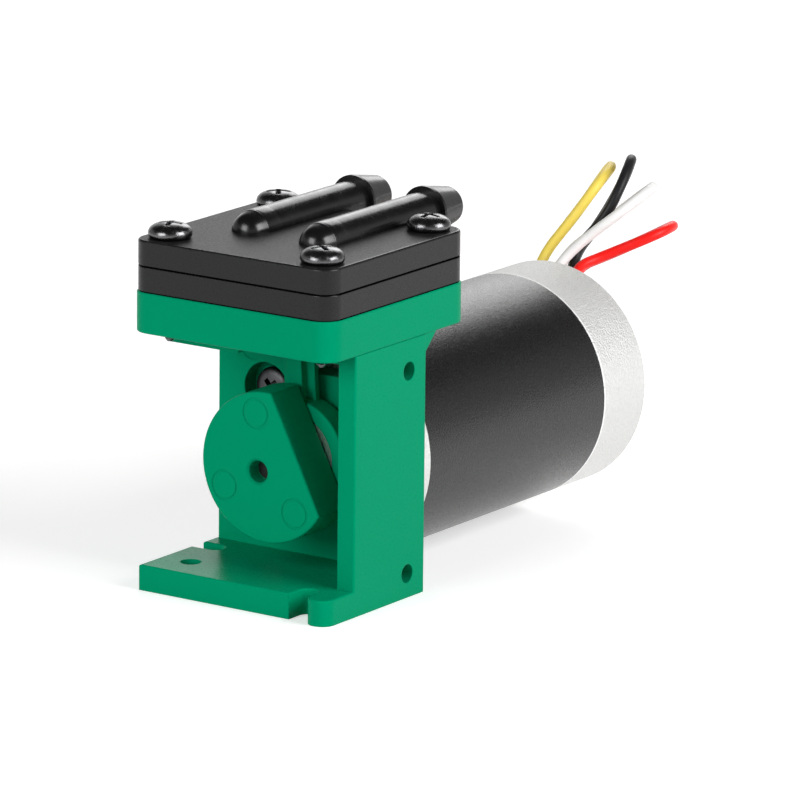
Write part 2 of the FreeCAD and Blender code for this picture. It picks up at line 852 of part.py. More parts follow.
# Each lead leaves its hole in the grommet, rises behind the motor, turns over away from
# the front and comes down to the floor beside the motor, where it lies to its cut end.
lead_exit_y = motor_end_y + grommet_lip
lead_floor_z = lead_r + lead_floor_lift
lead_routes = {
    "lead_yellow": [
        (-6.3, 77.6, 32.2),
        (-7.8, 81.3, 36.6),
        (-5.1, 84.5, 42.1),
        (-3.0, 87.5, 47.2),
        (-5.2, 94.5, 49.7),
        (-9.9, 99.0, 45.4),
        (-17.5, 102.5, 36.5),
        (-24.1, 102.9, 28.2),
        (-27.5, 101.0, 14.5),
        (-28.5, 92.5, 3.2),
        (-28.0, 80.5, lead_floor_z),
        (-29.5, 69.0, lead_floor_z + 0.1),
        (-29.0, 58.0, lead_floor_z),
    ],
    "lead_white": [
        (-3.7, 76.8, 32.2),
        (-2.8, 81.2, 38.0),
        (4.5, 86.6, 44.7),
        (3.9, 94.3, 45.9),
        (-1.8, 98.4, 42.5),
        (-11.7, 101.8, 35.6),
        (-19.7, 102.2, 28.8),
        (-23.5, 102.0, 14.5),
        (-25.3, 93.5, 3.2),
        (-24.6, 81.5, lead_floor_z),
        (-26.0, 70.0, lead_floor_z + 0.1),
        (-26.4, 59.0, lead_floor_z),
    ],
    "lead_black": [
        (-0.8, 79.0, 32.2),
        (-3.2, 83.3, 36.3),
        (-1.2, 85.9, 41.6),
        (0.6, 89.0, 46.6),
        (-2.1, 95.5, 49.5),
        (-6.4, 100.2, 45.0),
        (-13.5, 104.2, 36.2),
        (-19.3, 104.6, 28.1),
        (-20.5, 105.5, 15.0),
        (-21.8, 97.0, 3.2),
        (-21.6, 84.5, lead_floor_z),
        (-23.0, 73.0, lead_floor_z + 0.1),
        (-23.4, 62.0, lead_floor_z),
    ],
    "lead_red": [
        (1.6, 76.9, 31.9),
        (1.5, 82.2, 36.4),
        (8.4, 86.5, 40.0),
        (8.0, 94.3, 40.8),
        (2.1, 98.3, 37.6),
        (-7.9, 102.2, 32.4),
        (-15.4, 103.6, 25.6),
        (-18.2, 103.0, 13.5),
        (-18.8, 95.0, 3.2),
        (-18.6, 83.5, lead_floor_z),
        (-19.8, 72.5, lead_floor_z + 0.1),
        (-20.3, 61.5, lead_floor_z),
    ],
}

ceiling_z = plate_z + chamber_depth
rotor_core, rotor_magnet = rotor()
nodes = {
    "frame": frame(),
    "valve_plate": valve_plate(),
    "head_cover": head_cover(),
    "head_screws": head_screws(),
    "diaphragm": diaphragm(),
    "inlet_valve": umbrella_valve(-port_x, cover_z - valve_skin, -1),
    "outlet_valve": umbrella_valve(port_x, ceiling_z + valve_skin, 1),
    "port_seals": Part.makeCompound([seal_ring(-port_x, 0), seal_ring(port_x, 0)]),
    "motor_can": motor_can(),
    "motor_front_cap": front_cap(),
    "motor_rear_cap": rear_cap(),
    "motor_screws": motor_screws(),
    "front_bearing": ball_bearing(front_bearing_y),
    "rear_bearing": ball_bearing(rear_bearing_y),
    "stator_core": stator_core(),
    "stator_windings": stator_windings(),
    "circuit_board": tube_y(
        motor_r - cap_wall - board_edge_gap,
        motor_bearing_r + cap_wall + board_edge_gap,
        0,
        shaft_z,
        board_y,
        board_y + board_t,
    ),
    "lead_grommet": lead_grommet(),
    "motor_shaft": rod_y(
        shaft_r,
        0,
        shaft_z,
        disc_front_y + disc_hole_depth,
        motor_end_y - shaft_cover_gap,
    ),
    "rotor_core": rotor_core,
    "rotor_magnet": rotor_magnet,
    "crank_disc": crank_disc(),
    "crank_bearing_inner": crank_bearing_inner(),
    "crank_bearing_outer": crank_bearing_outer(),
    "connecting_rod": connecting_rod(),
    "pressure_plate": pressure_plate(),
    "diaphragm_screw": diaphragm_screw(),
}
for k, (name, route) in enumerate(lead_routes.items()):
    exit_x = lead_row_x + (k - 1.5) * lead_pitch
    points = [Vector(exit_x, lead_exit_y, lead_row_z)]
    nodes[name] = lead_tube(name, points + [Vector(*p) for p in route])

for name, shape in nodes.items():
    if not shape.isValid() or shape.Volume <= 0:
        print("check", name, shape.isValid(), shape.Volume)
    shape.exportStep("parts/" + name + ".step")
print(len(nodes), "nodes")
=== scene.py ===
# %% [markdown]
# # Dressing a diaphragm vacuum pump
# The solids of the pump come from its CAD source. Here each of them gets its finish, and what
# Blender makes better than CAD does is modelled again or added: the leads with their bared ends, the
# screws, the closed ends of the spouts, and dark bands of painted shade in the joints between the
# layers of the head.
# The solids are loaded as a fixed frame, so everything is measured in metres and sits where the CAD
# puts it.

# %% Load the solids
import math

import bmesh
import bpy
from mathutils import Matrix, Vector


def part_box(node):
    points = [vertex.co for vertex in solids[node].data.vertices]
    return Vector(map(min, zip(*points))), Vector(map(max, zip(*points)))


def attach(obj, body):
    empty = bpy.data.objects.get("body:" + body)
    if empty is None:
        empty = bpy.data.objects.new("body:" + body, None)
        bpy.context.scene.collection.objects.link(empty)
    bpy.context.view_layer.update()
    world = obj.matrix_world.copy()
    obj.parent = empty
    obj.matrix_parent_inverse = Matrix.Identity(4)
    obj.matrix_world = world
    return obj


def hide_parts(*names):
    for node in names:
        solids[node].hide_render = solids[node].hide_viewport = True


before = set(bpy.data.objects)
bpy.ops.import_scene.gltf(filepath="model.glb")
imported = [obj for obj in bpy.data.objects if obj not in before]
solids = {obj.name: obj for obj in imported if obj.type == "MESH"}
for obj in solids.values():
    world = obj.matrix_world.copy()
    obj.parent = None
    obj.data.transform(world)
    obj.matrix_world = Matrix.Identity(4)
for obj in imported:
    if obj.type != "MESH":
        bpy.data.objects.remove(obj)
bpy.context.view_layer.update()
mm = 0.001
scene = bpy.context.scene
scene.view_settings.view_transform = "Standard"

# %% [markdown]
# ## The camera
# A product picture like this is taken from far away through a long lens, so that edges stay almost
# parallel. The place and the turn of the camera were worked out from the corners of the square
# head. The direction is written as three angles, because they are easier to picture than a matrix:
# how far round to the right, how far above, and a slight roll.

# %% Camera
view_turn = math.radians(34.3517)
view_rise = math.radians(13.9599)
view_roll = math.radians(0.5920)
view_place = Vector((0.60202, -0.85359, 0.28846))
picture_px = 800
focal_px = 7087.0

backward = Vector((math.sin(view_turn) * math.cos(view_rise),
                   -math.cos(view_turn) * math.cos(view_rise), math.sin(view_rise)))
level = Vector((math.cos(view_turn), math.sin(view_turn), 0))
upright = backward.cross(level)
sideways = level * math.cos(view_roll) + upright * math.sin(view_roll)
upward = upright * math.cos(view_roll) - level * math.sin(view_roll)

eye = bpy.data.cameras.new("eye")
eye.sensor_width = 36
eye.lens = eye.sensor_width * focal_px / picture_px
eye.clip_end = 20
camera = bpy.data.objects.new("camera", eye)
camera.matrix_world = Matrix.Translation(view_place) @ Matrix(
    (sideways, upward, backward)).transposed().to_4x4()
scene.collection.objects.link(camera)
scene.camera = camera
print("lens in mm:", round(eye.lens, 1))

# %% [markdown]
# ## Small helpers
# Finishes, screws and lamps all end in trees of nodes, and every new piece starts as a bare form.
# The few moves that come back each time are written once here: set or link the sockets of a node,
# a Math node, a change of range, and a form turned into an object.

# %% Helpers
def feed(tree, sockets, values):
    """Fills sockets in turn: the output of another node is linked, anything else is written in."""
    for socket, value in zip(sockets, values):
        if isinstance(value, bpy.types.NodeSocket):
            tree.links.new(value, socket)
        else:
            socket.default_value = value


def math_node(tree, operation, *terms):
    """The output of a Math node."""
    node = tree.nodes.new("ShaderNodeMath")
    node.operation = operation
    feed(tree, node.inputs, terms)
    return node.outputs[0]


def ranged(tree, value, start, stop, low, high, kind="LINEAR"):
    """Leads a value from start and stop to low and high, and no further than these."""
    node = tree.nodes.new("ShaderNodeMapRange")
    node.interpolation_type = kind
    feed(tree, node.inputs, (value, start, stop, low, high))
    return node.outputs["Result"]


def piece_from(form, name):
    """An object in the scene with the form as its mesh."""
    mesh = bpy.data.meshes.new(name)
    form.to_mesh(mesh)
    form.free()
    made = bpy.data.objects.new(name, mesh)
    scene.collection.objects.link(made)
    return made


# %% [markdown]
# ## A way to write finishes
# Every finish is a small tree of nodes on Object coordinates, so it keeps its size whatever piece
# it is on: noise that shifts the colour a little, noise that varies the roughness, and a fine
# grain as bump. The function below makes the tree, and each finish then says its own numbers. What
# is equal all over a surface is set straight on the shader.

# %% Finish
colour_a, colour_b, colour_mixed = 6, 7, 2  # the numbers of the colour sockets of a Mix node
patch_detail = 3
grain_detail = 4
grain_range = (0.3, 0.7)
edge_samples = 6


def noise(tree, place, scale, detail):
    """A noise pattern of this scale per metre."""
    node = tree.nodes.new("ShaderNodeTexNoise")
    feed(tree, (node.inputs["Vector"], node.inputs["Scale"], node.inputs["Detail"]),
         (place, scale, detail))
    return node.outputs["Fac"]


def mixed(tree, factor, first, second):
    """A blend of two colours."""
    node = tree.nodes.new("ShaderNodeMix")
    node.data_type = "RGBA"
    feed(tree, (node.inputs["Factor"], node.inputs[colour_a], node.inputs[colour_b]),
         (factor, first, second))
    return node.outputs[colour_mixed]


def finish(name, colour, second, rough, grain, depth, patch=40.0, metal=0.0, spread=0.06, edge=0.0,
           tint_of_gloss=None, painted_bands=(), **shader):
    """A material: two close colours mixed in patches, roughness that wanders, and a fine grain.

    Patch and grain are the scales of the two noises, depth is the height of the grain, and edge the
    radius of a softened edge. A painted band is (axis, place, half width, colour): a thin band round
    the piece in a flat colour, used for painted shade in joints and for a painted highlight along an
    edge."""
    made = bpy.data.materials.new(name)
    made.use_nodes = True
    tree = made.node_tree
    surface = tree.nodes["Principled BSDF"]
    surface.inputs["Metallic"].default_value = metal
    for socket, value in shader.items():
        surface.inputs[socket.replace("_", " ")].default_value = value
    if tint_of_gloss:
        surface.inputs["Specular Tint"].default_value = (*tint_of_gloss, 1)
    place = tree.nodes.new("ShaderNodeTexCoord").outputs["Object"]

    shown = mixed(tree, noise(tree, place, patch, patch_detail), (*colour, 1), (*second, 1))
    # Each painted band is painted shade or a painted highlight laid over the colour.
    for axis, line_place, half_width, line_colour in painted_bands:
        split = tree.nodes.new("ShaderNodeSeparateXYZ")
        tree.links.new(place, split.inputs["Vector"])
        in_painted_band = math_node(tree, "COMPARE", split.outputs[axis], line_place, half_width)
        shown = mixed(tree, in_painted_band, shown, (*line_colour, 1))
    tree.links.new(shown, surface.inputs["Base Color"])

    specks = noise(tree, place, grain, grain_detail)
    polish = ranged(tree, specks, *grain_range, rough - spread, rough + spread)
    tree.links.new(polish, surface.inputs["Roughness"])

    bump = tree.nodes.new("ShaderNodeBump")
    feed(tree, (bump.inputs["Strength"], bump.inputs["Distance"], bump.inputs["Height"]),
         (1, depth, specks))
    tree.links.new(bump.outputs["Normal"], surface.inputs["Normal"])
    if edge:
        soft_edge = tree.nodes.new("ShaderNodeBevel")
        soft_edge.samples = edge_samples
        soft_edge.inputs["Radius"].default_value = edge
        tree.links.new(soft_edge.outputs["Normal"], bump.inputs["Normal"])
    return made


def dress(material, *names):
    """Gives the solids of these names the material."""
    for name in names:
        mesh = solids[name].data
        mesh.materials.clear()
        mesh.materials.append(material)


# %% [markdown]
# ## The four leads
# Each lead is a thin copper strand in soft insulation, 1.7 mm across. It comes out of the rubber
# grommet in the motor's rear cap, rises, turns over behind the motor and lies on the floor beside
# it. A lead is one smooth line, so it is one NURBS curve through a few control points with a round
# bevel, and not a chain of cylinders. The order of the spline is set after its points: set before,
# it is lost. Each entry below gives a lead's length and its control points from the grommet to the
# cut, in mm.

# %% Leads
lead_diameter = 1.7 * mm
lead_start_y = 70.5
lead_start_z = 31.8
lead_routes = {
    "lead_yellow": (125.4, [
        (-6.2, lead_start_y, lead_start_z), (-6.9, 76.7, 32.3), (-9.3, 80.7, 34.8),
        (-5.7, 84.5, 41.3), (-2.7, 87.1, 46.8), (-4.7, 94.6, 48.4), (-8.5, 99.1, 46.7),
        (-17.2, 102.6, 36.5), (-24.1, 103.2, 29.0), (-27.4, 101.0, 14.4), (-28.5, 92.5, 3.2),
        (-28.0, 80.5, 0.95), (-29.5, 69.0, 1.05), (-29.0, 58.0, 0.95)]),
    "lead_white": (124.3, [
        (-3.6, lead_start_y, lead_start_z), (-4.5, 75.3, 32.5), (-3.9, 81.5, 37.0),
        (4.0, 86.7, 44.4), (4.1, 94.8, 46.6), (-2.2, 98.5, 42.7), (-11.7, 102.1, 35.9),
        (-20.1, 102.0, 29.0), (-23.6, 101.9, 14.5), (-25.3, 93.5, 3.2), (-24.6, 81.5, 0.95),
        (-26.0, 70.0, 1.05), (-26.4, 59.0, 0.95)]),
    "lead_black": (126.2, [
        (-1.0, lead_start_y, lead_start_z), (-1.7, 78.3, 31.7), (-4.8, 83.8, 36.2),
        (-0.4, 86.1, 41.8), (0.8, 89.3, 47.6), (-1.2, 95.4, 50.8), (-6.2, 100.4, 44.6),
        (-13.3, 104.2, 35.8), (-19.1, 104.4, 28.6), (-20.3, 104.6, 14.9), (-21.8, 97.0, 3.2),
        (-21.6, 84.5, 0.95), (-23.0, 73.0, 1.05), (-23.4, 62.0, 0.95)]),
    "lead_red": (118.2, [
        (1.6, lead_start_y, lead_start_z), (1.7, 74.5, 31.8), (-1.5, 78.8, 34.7),
        (0.8, 84.2, 36.0), (8.4, 88.2, 39.9), (7.4, 95.4, 40.2), (1.9, 98.6, 37.4),
        (-8.6, 101.5, 32.0), (-18.1, 102.3, 27.5), (-18.4, 102.8, 13.4), (-18.8, 95.0, 3.2),
        (-18.6, 83.5, 0.95), (-19.8, 72.5, 1.05), (-20.3, 61.5, 0.95)]),
}
lead_colours = {
    "lead_yellow": ((0.90, 0.68, 0.10), (0.96, 0.76, 0.15)),
    "lead_white": ((0.86, 0.86, 0.85), (0.90, 0.90, 0.89)),
    "lead_black": ((0.012, 0.012, 0.013), (0.02, 0.02, 0.022)),
    "lead_red": ((0.92, 0.008, 0.006), (0.98, 0.02, 0.014)),
}

strand_copper = finish("tinned_strands", (0.62, 0.56, 0.50), (0.74, 0.70, 0.66), rough=0.3,
                       grain=4000, depth=0.00001, patch=900, metal=1.0)
strand_radius = 0.2 * mm
strand_ring = 0.42 * mm
strand_length = 3.8 * mm
strand_middle = 1.4 * mm
strand_sides = 10
outer_strands = 6


def bared_end(name, end, before):
    """Thin strands that stick out of a lead's cut insulation, one in the middle, six round it."""
    along = (Vector(end) - Vector(before)).normalized()
    turned = (Matrix.Translation(Vector(end) * mm)
              @ along.to_track_quat("Z", "Y").to_matrix().to_4x4())
    form = bmesh.new()
    for k in range(outer_strands + 1):
        out = 0.0 if k == 0 else strand_ring
        angle = k * math.tau / outer_strands
        spot = Vector((out * math.cos(angle), out * math.sin(angle), strand_middle))
        bmesh.ops.create_cone(form, cap_ends=True, segments=strand_sides, radius1=strand_radius,
                              radius2=strand_radius, depth=strand_length,
                              matrix=turned @ Matrix.Translation(spot))
    strands = piece_from(form, name)
    strands.data.materials.append(strand_copper)
    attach(strands, "housing")
    return strands


for name, (length, route) in lead_routes.items():
    line = bpy.data.curves.new(name + "_line", "CURVE")
    line.dimensions = "3D"
    line.bevel_depth = lead_diameter / 2
    line.bevel_resolution = 5
    line.resolution_u = 12
    line.use_fill_caps = True
    spline = line.splines.new("NURBS")
    spline.points.add(len(route) - 1)
    for point, place in zip(spline.points, route):
        point.co = (*[v * mm for v in place], 1)
    spline.order_u = 3
    spline.use_endpoint_u = True
    lead = bpy.data.objects.new(name + "_insulation", line)
    scene.collection.objects.link(lead)
    line.materials.append(finish(name + "_soft", *lead_colours[name], rough=0.40, grain=900,
                                 depth=0.00003, patch=60, IOR=1.3))
    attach(lead, "housing")
    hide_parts(name)
    bared_end(name + "_strands", route[-1], route[-2])
    print(name, "points:", len(route), "length in mm:", length)

# %% [markdown]
# ## The moulded green
# Frame, crank disc and rod are one green plastic, with a faint spark-eroded grain and softened
# edges. Its gloss is tinted green as well, so that no white sheen greys the sides.

# %% Green plastic
green = finish("green_moulding", (0.0, 0.262, 0.124), (0.0, 0.285, 0.138), rough=0.30, grain=2600,
               depth=0.000006, patch=30, edge=0.25 * mm, tint_of_gloss=(0.05, 0.9, 0.6),
               IOR=1.1, Specular_IOR_Level=0.6)
dress(green, "frame", "crank_disc", "connecting_rod")
print("green on the frame, the disc and the rod")

# %% [markdown]
# ## The black head
# The valve plate and the sides of the cover are smooth black plastic, and the cover's top has a
# dull grain. The spouts are the same piece as the cover, but their mould was polished, so they
# shine. The faces of the top and of the spouts are found by their height.

# %% Black plastics
low_corner, high_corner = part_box("valve_plate")
plate_low, plate_high = low_corner.z, high_corner.z
cover_thickness = 4.0
cover_top = plate_high + cover_thickness * mm
hair = 0.00001
level_from = 0.999
# Black for painted shade in the joints.
painted_shade = (0.0, 0.0, 0.0)
# Its two bands at the heights of the plate's faces are painted shade in the joints of the head.
smooth_black = finish("smooth_black", (0.008, 0.008, 0.0083), (0.011, 0.011, 0.0113), rough=0.30,
                      grain=2600, depth=0.000006, patch=50, Specular_IOR_Level=0.25,
                      painted_bands=[("Z", plate_low, 0.2 * mm, painted_shade),
                             ("Z", plate_high, 0.16 * mm, painted_shade)])
dull_black = finish("dull_black", (0.009, 0.009, 0.0095), (0.013, 0.013, 0.0135), rough=0.50,
                    grain=3000, depth=0.00003, patch=50, IOR=1.31, Specular_IOR_Level=0.4)
gloss = finish("polished_black", (0.003, 0.003, 0.0035), (0.006, 0.006, 0.0065), rough=0.24,
               grain=420, depth=0.00002, patch=50, spread=0.05)
dress(smooth_black, "valve_plate", "head_cover")
cover = solids["head_cover"].data
cover.materials.append(gloss)
cover.materials.append(dull_black)
gloss_slot, dull_slot = 1, 2
raised = 0
for face in cover.polygons:
    if abs(face.normal.z) > level_from and abs(face.center.z - cover_top) < hair:
        face.material_index = dull_slot
    elif min(cover.vertices[i].co.z for i in face.vertices) > cover_top - hair:
        face.material_index = gloss_slot
        raised += 1
print("polished faces of the cover:", raised)

# %% [markdown]
# Where two layers of the head meet, the pump shows a thin black line: the edges are rounded a
# little, and no light comes back out of the joint. A narrow dull black band round each joint paints
# this shade in. It follows the rounded square of the head and stands a hair's breadth proud of its
# sides.

# %% Painted shade in the joints of the head
joint_shadow_paint = finish("joint_shadow", (0.001, 0.001, 0.001), (0.002, 0.002, 0.002), rough=0.9,
                     grain=900, depth=0.000002, Specular_IOR_Level=0.0)
corner_radius = 3.2 * mm
corner_out = (high_corner.x - low_corner.x) / 2 - corner_radius
centre_x = (high_corner.x + low_corner.x) / 2
centre_y = (high_corner.y + low_corner.y) / 2
band_sides = 64
band_section = ((0.02, -0.13), (0.02, 0.13), (-0.3, 0.13), (-0.3, -0.13))  # outwards and up, in mm
for label, height in (("lower", plate_low), ("upper", plate_high)):
    form = bmesh.new()
    loops = []
    for reach, rise in band_section:
        radius = corner_radius + reach * mm
        angles = [math.tau * (k + 0.5) / band_sides for k in range(band_sides)]
        loops.append([form.verts.new((
            centre_x + math.copysign(corner_out, math.cos(angle)) + radius * math.cos(angle),
            centre_y + math.copysign(corner_out, math.sin(angle)) + radius * math.sin(angle),
            height + rise * mm)) for angle in angles])
    for loop, following in zip(loops, loops[1:] + loops[:1]):
        for k in range(band_sides):
            after = (k + 1) % band_sides
            form.faces.new([loop[k], loop[after], following[after], following[k]])
    bmesh.ops.recalc_face_normals(form, faces=form.faces[:])
    painted_joint_shade = piece_from(form, label + "_head_joint")
    painted_joint_shade.data.materials.append(joint_shadow_paint)
    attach(painted_joint_shade, "housing")
    print(painted_joint_shade.name, "faces:", len(painted_joint_shade.data.polygons))

# %% [markdown]
# ## The motor
# The can has a satin black coat over steel. The caps are blasted aluminium: bright, without a clear
# reflection, and sparkling a little where a grain faces the light. Where the can meets the rear cap,
# a thin band of painted shade lies on the can and a thin band of painted highlight lies on the cap.

# %% Motor finishes
can_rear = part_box("motor_can")[1].y
# The band at the can's rear end is painted shade in the joint with the cap.
can_coat = finish("satin_coat", (0.002, 0.002, 0.0022), (0.004, 0.004, 0.0043), rough=0.27,
                  grain=4200, depth=0.00006, patch=20,
                  painted_bands=[("Y", can_rear, 0.15 * mm, painted_shade)])
# The near-white band just behind the can's rear end is a painted highlight on the rear cap's edge.
aluminium = finish("blasted_aluminium", (0.66, 0.66, 0.65), (0.82, 0.82, 0.81), rough=0.58,
                   grain=3000, depth=0.0003, patch=2600, metal=0.75,
                   painted_bands=[("Y", can_rear + 0.2 * mm, 0.2 * mm, (0.97, 0.97, 0.97))])
steel = finish("ground_steel", (0.78, 0.78, 0.79), (0.86, 0.86, 0.87), rough=0.32, grain=9000,
               depth=0.000001, patch=400, metal=1.0)
sheet_steel = finish("stacked_sheet", (0.20, 0.20, 0.21), (0.28, 0.28, 0.29), rough=0.45,
                     grain=1500, depth=0.00001, patch=400, metal=1.0)
magnet = finish("sintered_magnet", (0.10, 0.10, 0.11), (0.14, 0.14, 0.15), rough=0.5, grain=1500,
                depth=0.00001, patch=400, metal=0.6)
copper = finish("enamelled_copper", (0.50, 0.18, 0.06), (0.60, 0.24, 0.09), rough=0.30, grain=1500,
                depth=0.00001, patch=800, metal=1.0)
board = finish("glass_laminate", (0.01, 0.07, 0.03), (0.015, 0.09, 0.04), rough=0.4, grain=1500,
               depth=0.00001, patch=800)
shaft_steel = finish("oiled_dark_steel", (0.010, 0.012, 0.010), (0.02, 0.022, 0.02), rough=0.5,
                     grain=1800, depth=0.000008, patch=300, metal=0.5)
rubber = finish("black_rubber", (0.016, 0.016, 0.016), (0.024, 0.024, 0.024), rough=0.6,
                grain=1200, depth=0.00002, patch=60)
dress(can_coat, "motor_can")
dress(aluminium, "motor_front_cap", "motor_rear_cap")
dress(steel, "front_bearing", "rear_bearing", "crank_bearing_inner", "crank_bearing_outer",
      "pressure_plate", "diaphragm_screw")
dress(shaft_steel, "motor_shaft")
dress(sheet_steel, "stator_core", "rotor_core")
dress(magnet, "rotor_magnet")
dress(copper, "stator_windings")
dress(board, "circuit_board")
dress(rubber, "diaphragm", "inlet_valve", "outlet_valve", "port_seals", "lead_grommet")
print("solids with no finish:", [n for n, o in solids.items()
                                 if not o.hide_render and len(o.data.materials) == 0])

# %% [markdown]
# ## Screws
# The cover is held by four cross-slotted pan-head screws with a polished black nickel coat, and
# two more in the counterbores of the rear wall hold the motor. A pan head is round and domed, and
# its rim turns under, so it is spun from an outline like a part on a lathe. The cross is cut out
# of it with two tapered blades.

# %% One screw
crisp_from = math.radians(36)
square = ((-1, -1), (1, -1), (1, 1), (-1, 1))
slot_clear = 0.6
slot_mouth = (1.1, 1.15)  # how much longer and wider a blade is above the screw
slot_foot = (0.55, 0.75)  # and how much shorter and narrower at the bottom of the slot


def spun(name, outline, sides=56):
    """A closed form turned round Z from (radius, height) pairs in mm, with radius 0 at both ends."""
    form = bmesh.new()
    rings = []
    for radius, height in outline:
        count = sides if radius > 0 else 1
        rings.append([form.verts.new((radius * mm * math.cos(math.tau * k / sides),
                                      radius * mm * math.sin(math.tau * k / sides), height * mm))
                      for k in range(count)])
    for above, below in zip(rings, rings[1:]):
        for k in range(sides):
            after = (k + 1) % sides
            corners = [above[k % len(above)], below[k % len(below)], below[after % len(below)],
                       above[after % len(above)]]
            form.faces.new(list(dict.fromkeys(corners)))
    bmesh.ops.recalc_face_normals(form, faces=form.faces[:])
    return piece_from(form, name)


def blade(name, reach, width, top, depth):
    """A slot's cutter: long and wide above, shorter and thinner at the bottom."""
    form = bmesh.new()
    upper, lower = [[form.verts.new((sx * reach * longer * mm, sy * width * wider / 2 * mm,
                                     height * mm)) for sx, sy in square]
                    for height, (longer, wider) in ((top + slot_clear, slot_mouth),
                                                    (top - depth, slot_foot))]
    form.faces.new(upper)
    form.faces.new(lower[::-1])
    for k in range(4):
        after = (k + 1) % 4
        form.faces.new([upper[k], upper[after], lower[after], lower[k]])
    bmesh.ops.recalc_face_normals(form, faces=form.faces[:])
    return piece_from(form, name)


def smooth_to_crisp(form):
    """Smooth faces, with a crisp line wherever two of them meet at a clear angle."""
    for face in form.faces:
        face.smooth = True
    for side in form.edges:
        side.smooth = side.calc_face_angle(math.pi) < crisp_from


def plain_mesh(obj, name):
    """The finished mesh of an object with modifiers."""
    seen_now = obj.evaluated_get(bpy.context.evaluated_depsgraph_get())
    mesh = bpy.data.meshes.new_from_object(seen_now)
    mesh.name = name
    form = bmesh.new()
    form.from_mesh(mesh)
    smooth_to_crisp(form)
    form.to_mesh(mesh)
    form.free()
    return mesh


def cross_screw(name, outline, top, reach, width, depth):
    """A spun screw with its cross cut out."""
    blank = spun(name, outline)
    cutters = [blade(name + "_slot", reach, width, top, depth) for _ in range(2)]
    for k, cutter in enumerate(cutters):
        cutter.data.transform(Matrix.Rotation(k * math.pi / 2, 4, "Z"))
        cut = blank.modifiers.new("slot", "BOOLEAN")
        cut.operation = "DIFFERENCE"
        cut.solver = "EXACT"
        cut.object = cutter
    blank.data = plain_mesh(blank, name)
    blank.modifiers.clear()
    for cutter in cutters:
        bpy.data.objects.remove(cutter)
    print(name, "faces:", len(blank.data.polygons))
    return blank


shank_radius = 1.45
thread_taper, thread_depth, thread_pitch = 0.22, 0.3, 0.85
first_groove, first_crest = -12.6, -12.95
thread = []
for turn in range(4):
    crest = shank_radius - thread_taper * turn
    thread += [(crest - thread_depth, first_groove - thread_pitch * turn),
               (crest, first_crest - thread_pitch * turn)]
cover_screw_top = 2.38
cover_screw_outline = [
    (0, cover_screw_top), (0.8, 2.36), (1.5, 2.28), (2.1, 2.14), (2.6, 1.93), (3.0, 1.64),
    (3.25, 1.3), (3.37, 0.95), (3.38, 0.62), (3.29, 0.3), (3.1, 0.08), (2.85, 0.0),
    (shank_radius, 0.0), (shank_radius, -12.2), *thread, (0.45, -16.0), (0, -16.05)]
cover_screw = cross_screw("cover_screw", cover_screw_outline, top=cover_screw_top, reach=2.15,
                          width=0.8, depth=1.3)
wall_screw_top = 2.0
wall_screw_outline = [
    (0, wall_screw_top), (1.2, 1.97), (2.0, 1.88), (2.6, 1.72), (2.9, 1.48), (3.0, 1.15),
    (3.0, 0.3), (2.85, 0.05), (2.6, 0.0), (1.2, 0.0), (1.2, -5.7), (0.9, -6.0), (0, -6.0)]
wall_screw = cross_screw("wall_screw", wall_screw_outline, top=wall_screw_top, reach=1.6,
                         width=0.85, depth=1.2)

# %% [markdown]
# One screw of a kind is enough: Geometry Nodes puts a copy on each seat. The seats are bare
# points, and the tree's named inputs say which screw, how far it leans from upright, and how much
# further each one is turned than the last, because nobody stops four screws at the same angle. The
# copies are made real and given their finish at the end of the tree.

# %% Screws on their seats
def seat_tree():
    """A node tree that sets a screw on every point that it is given."""
    tree = bpy.data.node_groups.new("screws_on_seats", "GeometryNodeTree")
    sockets = (("Seats", "Geometry"), ("Screw", "Object"), ("Lean", "Float"),
               ("First turn", "Float"), ("Turn step", "Float"), ("Size", "Float"),
               ("Coat", "Material"))
    for label, kind in sockets:
        tree.interface.new_socket(label, in_out="INPUT", socket_type="NodeSocket" + kind)
    tree.interface.new_socket("Screws", in_out="OUTPUT", socket_type="NodeSocketGeometry")
    link = tree.links.new
    new = tree.nodes.new
    given = new("NodeGroupInput")
    source = new("GeometryNodeObjectInfo")
    link(given.outputs["Screw"], source.inputs["Object"])
    number = new("GeometryNodeInputIndex")
    turn = math_node(tree, "MULTIPLY_ADD", number.outputs[0], given.outputs["Turn step"],
                     given.outputs["First turn"])
    lean = new("ShaderNodeCombineXYZ")
    link(given.outputs["Lean"], lean.inputs["X"])
    spin = new("ShaderNodeCombineXYZ")
    link(turn, spin.inputs["Z"])
    place = new("GeometryNodeInstanceOnPoints")
    link(given.outputs["Seats"], place.inputs["Points"])
    link(source.outputs["Geometry"], place.inputs["Instance"])
    link(lean.outputs[0], place.inputs["Rotation"])
    link(given.outputs["Size"], place.inputs["Scale"])
    twist = new("GeometryNodeRotateInstances")
    twist.inputs["Local Space"].default_value = True
    link(place.outputs["Instances"], twist.inputs["Instances"])
    link(spin.outputs[0], twist.inputs["Rotation"])
    real = new("GeometryNodeRealizeInstances")
    link(twist.outputs["Instances"], real.inputs["Geometry"])
    coat = new("GeometryNodeSetMaterial")
    link(real.outputs["Geometry"], coat.inputs["Geometry"])
    link(given.outputs["Coat"], coat.inputs["Material"])
    result = new("NodeGroupOutput")
    link(coat.outputs["Geometry"], result.inputs["Screws"])
    return tree


